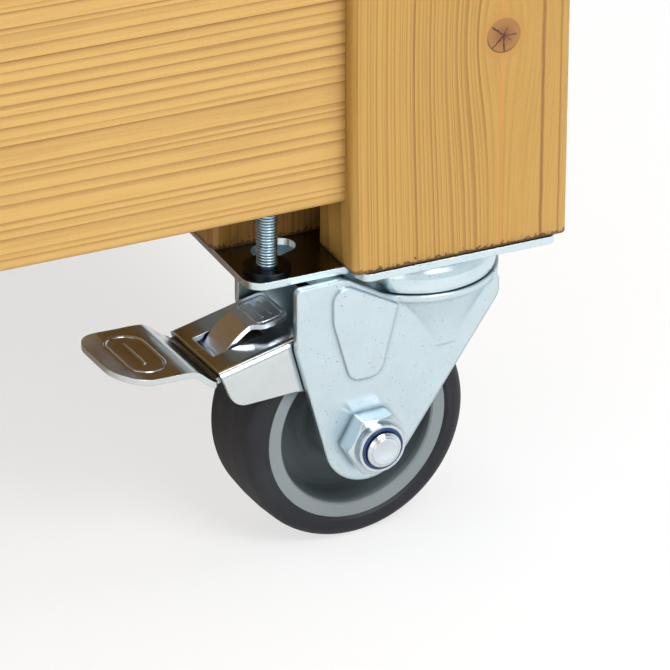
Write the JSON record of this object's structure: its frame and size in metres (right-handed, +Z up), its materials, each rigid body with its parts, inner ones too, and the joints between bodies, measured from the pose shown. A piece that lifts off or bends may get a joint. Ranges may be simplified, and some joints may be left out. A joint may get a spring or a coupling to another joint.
{
  "type": "rolling planter",
  "caption": "Rolling timber planter: boards between corner planks and posts, a drained liner on a slatted floor, and swivel castors with brakes at the front.",
  "frame": {"origin": "centre of the footprint, on the ground", "axes": "+Z up, +X along the long side, front looks to -Y"},
  "size_m": [0.8, 0.4134, 0.471],
  "materials": {
    "board": "clear oiled",
    "plank": "clear oiled",
    "post": "clear oiled",
    "floor": "sawn",
    "liner": "moulded",
    "screws": "zinc plated",
    "plate": "zinc plated",
    "fork": "zinc plated",
    "bearing": "polished",
    "rod": "zinc plated thread",
    "washer": "dark plated",
    "fasteners": "bright zinc",
    "core": "moulded",
    "tyre": "soft thermoplastic rubber",
    "brake": "bright zinc",
    "tab": "bright zinc",
    "shoe": "moulded"
  },
  "bodies": {
    "planter": {"front_board_lower": "board", "front_board_upper": "board", "back_board_lower": "board", "back_board_upper": "board", "left_board_lower": "board", "left_board_upper": "board", "right_board_lower": "board", "right_board_upper": "board", "plank_front_right": "plank", "plank_front_left": "plank", "plank_back_right": "plank", "plank_back_left": "plank", "post_front_right": "post", "post_front_left": "post", "post_back_right": "post", "post_back_left": "post", "floor_slats": "floor", "floor_bearers": "floor", "liner": "liner", "corner_screws": "screws", "plate_screws": "screws", "castor_plate_front_right": "plate", "castor_plate_front_left": "plate", "castor_plate_back_right": "plate", "castor_plate_back_left": "plate", "king_pins": "bearing", "swivel_balls": "bearing", "hanger_rods": "rod", "hanger_nuts": "rod", "hanger_washers": "washer"},
    "castor_front_right": {"fork_front_right": "fork", "axle_bolt_front_right": "fasteners", "axle_nut_front_right": "fasteners", "brake_pivots_front_right": "brake"},
    "wheel_front_right": {"wheel_core_front_right": "core", "tyre_front_right": "tyre"},
    "pedal_front_right": {"brake_lever_front_right": "brake", "brake_pad_front_right": "brake", "brake_shoe_front_right": "shoe"},
    "tab_front_right": {"release_tab_front_right": "tab"},
    "castor_front_left": {"fork_front_left": "fork", "axle_bolt_front_left": "fasteners", "axle_nut_front_left": "fasteners", "brake_pivots_front_left": "brake"},
    "wheel_front_left": {"wheel_core_front_left": "core", "tyre_front_left": "tyre"},
    "pedal_front_left": {"brake_lever_front_left": "brake", "brake_pad_front_left": "brake", "brake_shoe_front_left": "shoe"},
    "tab_front_left": {"release_tab_front_left": "tab"},
    "castor_back_right": {"fork_back_right": "fork", "axle_bolt_back_right": "fasteners", "axle_nut_back_right": "fasteners"},
    "wheel_back_right": {"wheel_core_back_right": "core", "tyre_back_right": "tyre"},
    "castor_back_left": {"fork_back_left": "fork", "axle_bolt_back_left": "fasteners", "axle_nut_back_left": "fasteners"},
    "wheel_back_left": {"wheel_core_back_left": "core", "tyre_back_left": "tyre"}
  },
  "joints": [
    {"name": "swivel_front_right", "type": "hinge", "parent": "planter", "child": "castor_front_right", "pos_m": [0.359, -0.172, 0.087], "axis": [0, 0, 1], "continuous": true},
    {"name": "roll_front_right", "type": "hinge", "parent": "castor_front_right", "child": "wheel_front_right", "pos_m": [0.33105, -0.17371, 0.04], "axis": [-0.061, 0.9981, 0], "continuous": true},
    {"name": "brake_front_right", "type": "hinge", "parent": "castor_front_right", "child": "pedal_front_right", "pos_m": [0.32506, -0.17408, 0.0715], "axis": [0.061, -0.9981, 0], "range_deg": [0, 6]},
    {"name": "release_front_right", "type": "hinge", "parent": "pedal_front_right", "child": "tab_front_right", "pos_m": [0.28813, -0.17633, 0.07011], "axis": [-0.061, 0.9981, 0], "range_deg": [0, 4], "stiffness_Nm_per_rad": 0.5},
    {"name": "swivel_front_left", "type": "hinge", "parent": "planter", "child": "castor_front_left", "pos_m": [-0.359, -0.172, 0.087], "axis": [0, 0, 1], "continuous": true},
    {"name": "roll_front_left", "type": "hinge", "parent": "castor_front_left", "child": "wheel_front_left", "pos_m": [-0.33105, -0.17371, 0.04], "axis": [-0.061, -0.9981, 0], "continuous": true},
    {"name": "brake_front_left", "type": "hinge", "parent": "castor_front_left", "child": "pedal_front_left", "pos_m": [-0.32506, -0.17408, 0.0715], "axis": [0.061, 0.9981, 0], "range_deg": [0, 6]},
    {"name": "release_front_left", "type": "hinge", "parent": "pedal_front_left", "child": "tab_front_left", "pos_m": [-0.28813, -0.17633, 0.07011], "axis": [-0.061, -0.9981, 0], "range_deg": [0, 4], "stiffness_Nm_per_rad": 0.5},
    {"name": "swivel_back_right", "type": "hinge", "parent": "planter", "child": "castor_back_right", "pos_m": [0.359, 0.172, 0.087], "axis": [0, 0, 1], "continuous": true},
    {"name": "roll_back_right", "type": "hinge", "parent": "castor_back_right", "child": "wheel_back_right", "pos_m": [0.33105, 0.17371, 0.04], "axis": [0.061, 0.9981, 0], "continuous": true},
    {"name": "swivel_back_left", "type": "hinge", "parent": "planter", "child": "castor_back_left", "pos_m": [-0.359, 0.172, 0.087], "axis": [0, 0, 1], "continuous": true},
    {"name": "roll_back_left", "type": "hinge", "parent": "castor_back_left", "child": "wheel_back_left", "pos_m": [-0.33105, 0.17371, 0.04], "axis": [0.061, -0.9981, 0], "continuous": true}
  ]
}
